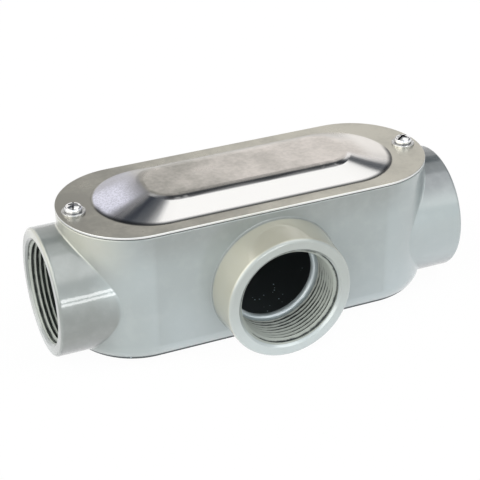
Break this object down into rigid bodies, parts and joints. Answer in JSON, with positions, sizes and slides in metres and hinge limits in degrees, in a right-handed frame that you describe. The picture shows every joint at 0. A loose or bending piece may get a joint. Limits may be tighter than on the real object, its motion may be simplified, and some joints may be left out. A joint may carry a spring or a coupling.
{
  "type": "conduit body",
  "caption": "Cast T-shaped conduit body with three threaded hubs and a stamped oval cover held by two screws.",
  "frame": {"origin": "on the flat back of the casting, under the point where the three hub axes cross", "axes": "+X along the run towards the right hub, -Y along the branch hub, +Z out through the cover"},
  "size_m": [0.2, 0.0845, 0.0732],
  "materials": {
    "painted_casting": "semi-gloss light grey paint",
    "gasket_rubber": "matt black neoprene",
    "bare_aluminium": "rolled sheet, polished where pressed",
    "plated_steel": "bright zinc plate"
  },
  "bodies": {
    "root": {"body_casting": "painted_casting", "gasket": "gasket_rubber", "cover": "bare_aluminium", "washer_left": "plated_steel", "washer_right": "plated_steel", "screw_left": "plated_steel", "screw_right": "plated_steel"}
  },
  "joints": []
}
